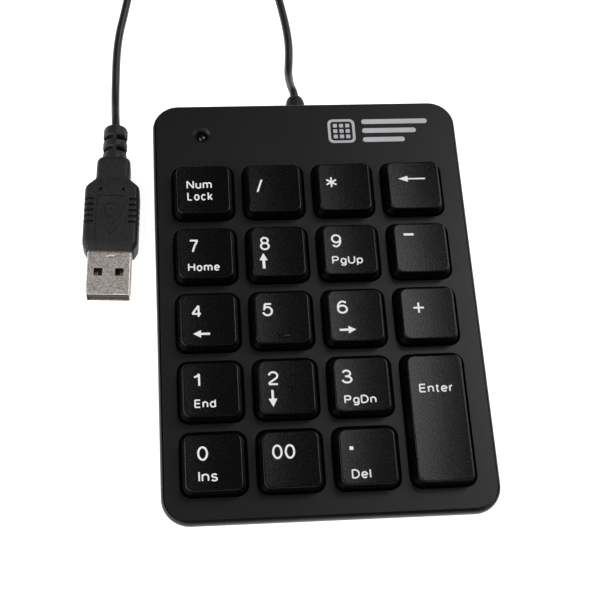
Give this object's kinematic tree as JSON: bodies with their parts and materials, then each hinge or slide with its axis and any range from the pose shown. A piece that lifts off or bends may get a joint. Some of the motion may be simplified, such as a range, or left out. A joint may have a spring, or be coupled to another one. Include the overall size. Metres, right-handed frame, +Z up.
{
  "type": "numeric keypad",
  "caption": "Low wired numeric keypad: sprung keys in a two-part case, one key two rows tall, with a lock light, a cord and a rectangular plug.",
  "frame": {"origin": "on the surface the keypad stands on, under the middle of its case", "axes": "+X to the user's right, +Y away from the user towards the cord, +Z up; the keys slide along -Z"},
  "size_m": [0.1045, 0.2061, 0.0186],
  "materials": {
    "case_plastic": "fine texture",
    "key_plastic": "fine texture, rubbed a little smooth",
    "foot_rubber": "matt",
    "gland_rubber": "satin",
    "steel": "zinc plated",
    "plug_steel": "nickel plated",
    "contact_film": "clear film",
    "spacer_film": "clear film",
    "silicone": "translucent matt",
    "board": "solder mask",
    "chip": "moulded",
    "clamp_metal": "plain",
    "crystal_can": "plain",
    "socket": "moulded",
    "capacitor_sleeve": "shrunk sleeve",
    "lens": "clear tinted",
    "cord_jacket": "satin",
    "tie": "satin",
    "overmold": "fine texture",
    "tongue": "moulded",
    "gold": "gold flash"
  },
  "bodies": {
    "case": {"bottom_case": "case_plastic", "cable_coil": "cord_jacket", "cable_gland": "gland_rubber", "cable_run_keypad": "cord_jacket", "cable_run_plug": "cord_jacket", "cable_tie": "tie", "capacitor": "capacitor_sleeve", "case_screw_1": "steel", "case_screw_2": "steel", "case_screw_3": "steel", "case_screw_4": "steel", "case_screw_5": "steel", "case_screw_6": "steel", "clamp_screw_1": "steel", "clamp_screw_2": "steel", "controller_board": "board", "controller_chip": "chip", "crystal": "crystal_can", "dome_mat": "silicone", "film_clamp_bar": "clamp_metal", "foot_1": "foot_rubber", "foot_2": "foot_rubber", "foot_3": "foot_rubber", "foot_4": "foot_rubber", "inner_lead": "cord_jacket", "lead_socket": "socket", "lower_contact_film": "contact_film", "num_lock_light": "lens", "plug_contact_1": "gold", "plug_contact_2": "gold", "plug_contact_3": "gold", "plug_contact_4": "gold", "plug_overmold": "overmold", "plug_shell": "plug_steel", "plug_tongue": "tongue", "spacer_film": "spacer_film", "top_case": "case_plastic", "upper_contact_film": "contact_film"},
    "num_lock_key": {"key_num_lock": "key_plastic"},
    "divide_key": {"key_divide": "key_plastic"},
    "multiply_key": {"key_multiply": "key_plastic"},
    "backspace_key": {"key_backspace": "key_plastic"},
    "7_key": {"key_7": "key_plastic"},
    "8_key": {"key_8": "key_plastic"},
    "9_key": {"key_9": "key_plastic"},
    "minus_key": {"key_minus": "key_plastic"},
    "4_key": {"key_4": "key_plastic"},
    "5_key": {"key_5": "key_plastic"},
    "6_key": {"key_6": "key_plastic"},
    "plus_key": {"key_plus": "key_plastic"},
    "1_key": {"key_1": "key_plastic"},
    "2_key": {"key_2": "key_plastic"},
    "3_key": {"key_3": "key_plastic"},
    "enter_key": {"key_enter": "key_plastic"},
    "0_key": {"key_0": "key_plastic"},
    "00_key": {"key_00": "key_plastic"},
    "decimal_key": {"key_decimal": "key_plastic"},
    "stabilizer": {"enter_stabilizer": "steel"}
  },
  "joints": [
    {"name": "num_lock_press", "type": "slide", "parent": "case", "child": "num_lock_key", "axis": [0, 0, -1], "range_m": [0, 0.0028], "stiffness_N_per_m": 200, "springref_m": -0.001, "deforming": ["dome_mat"]},
    {"name": "divide_press", "type": "slide", "parent": "case", "child": "divide_key", "axis": [0, 0, -1], "range_m": [0, 0.0028], "stiffness_N_per_m": 200, "springref_m": -0.001, "deforming": ["dome_mat"]},
    {"name": "multiply_press", "type": "slide", "parent": "case", "child": "multiply_key", "axis": [0, 0, -1], "range_m": [0, 0.0028], "stiffness_N_per_m": 200, "springref_m": -0.001, "deforming": ["dome_mat"]},
    {"name": "backspace_press", "type": "slide", "parent": "case", "child": "backspace_key", "axis": [0, 0, -1], "range_m": [0, 0.0028], "stiffness_N_per_m": 200, "springref_m": -0.001, "deforming": ["dome_mat"]},
    {"name": "7_press", "type": "slide", "parent": "case", "child": "7_key", "axis": [0, 0, -1], "range_m": [0, 0.0028], "stiffness_N_per_m": 200, "springref_m": -0.001, "deforming": ["dome_mat"]},
    {"name": "8_press", "type": "slide", "parent": "case", "child": "8_key", "axis": [0, 0, -1], "range_m": [0, 0.0028], "stiffness_N_per_m": 200, "springref_m": -0.001, "deforming": ["dome_mat"]},
    {"name": "9_press", "type": "slide", "parent": "case", "child": "9_key", "axis": [0, 0, -1], "range_m": [0, 0.0028], "stiffness_N_per_m": 200, "springref_m": -0.001, "deforming": ["dome_mat"]},
    {"name": "minus_press", "type": "slide", "parent": "case", "child": "minus_key", "axis": [0, 0, -1], "range_m": [0, 0.0028], "stiffness_N_per_m": 200, "springref_m": -0.001, "deforming": ["dome_mat"]},
    {"name": "4_press", "type": "slide", "parent": "case", "child": "4_key", "axis": [0, 0, -1], "range_m": [0, 0.0028], "stiffness_N_per_m": 200, "springref_m": -0.001, "deforming": ["dome_mat"]},
    {"name": "5_press", "type": "slide", "parent": "case", "child": "5_key", "axis": [0, 0, -1], "range_m": [0, 0.0028], "stiffness_N_per_m": 200, "springref_m": -0.001, "deforming": ["dome_mat"]},
    {"name": "6_press", "type": "slide", "parent": "case", "child": "6_key", "axis": [0, 0, -1], "range_m": [0, 0.0028], "stiffness_N_per_m": 200, "springref_m": -0.001, "deforming": ["dome_mat"]},
    {"name": "plus_press", "type": "slide", "parent": "case", "child": "plus_key", "axis": [0, 0, -1], "range_m": [0, 0.0028], "stiffness_N_per_m": 200, "springref_m": -0.001, "deforming": ["dome_mat"]},
    {"name": "1_press", "type": "slide", "parent": "case", "child": "1_key", "axis": [0, 0, -1], "range_m": [0, 0.0028], "stiffness_N_per_m": 200, "springref_m": -0.001, "deforming": ["dome_mat"]},
    {"name": "2_press", "type": "slide", "parent": "case", "child": "2_key", "axis": [0, 0, -1], "range_m": [0, 0.0028], "stiffness_N_per_m": 200, "springref_m": -0.001, "deforming": ["dome_mat"]},
    {"name": "3_press", "type": "slide", "parent": "case", "child": "3_key", "axis": [0, 0, -1], "range_m": [0, 0.0028], "stiffness_N_per_m": 200, "springref_m": -0.001, "deforming": ["dome_mat"]},
    {"name": "enter_press", "type": "slide", "parent": "case", "child": "enter_key", "axis": [0, 0, -1], "range_m": [0, 0.0028], "stiffness_N_per_m": 200, "springref_m": -0.001, "deforming": ["dome_mat"]},
    {"name": "0_press", "type": "slide", "parent": "case", "child": "0_key", "axis": [0, 0, -1], "range_m": [0, 0.0028], "stiffness_N_per_m": 200, "springref_m": -0.001, "deforming": ["dome_mat"]},
    {"name": "00_press", "type": "slide", "parent": "case", "child": "00_key", "axis": [0, 0, -1], "range_m": [0, 0.0028], "stiffness_N_per_m": 200, "springref_m": -0.001, "deforming": ["dome_mat"]},
    {"name": "decimal_press", "type": "slide", "parent": "case", "child": "decimal_key", "axis": [0, 0, -1], "range_m": [0, 0.0028], "stiffness_N_per_m": 200, "springref_m": -0.001, "deforming": ["dome_mat"]},
    {"name": "enter_stabilizer_turn", "type": "hinge", "parent": "case", "child": "stabilizer", "pos_m": [0.02332, -0.03547, 0.0118], "axis": [0, 1, 0], "range_deg": [0, 18.5]}
  ],
  "couplings": [
    {"joint": "enter_stabilizer_turn", "follows": "enter_press", "rad_per_m": 113.2}
  ]
}
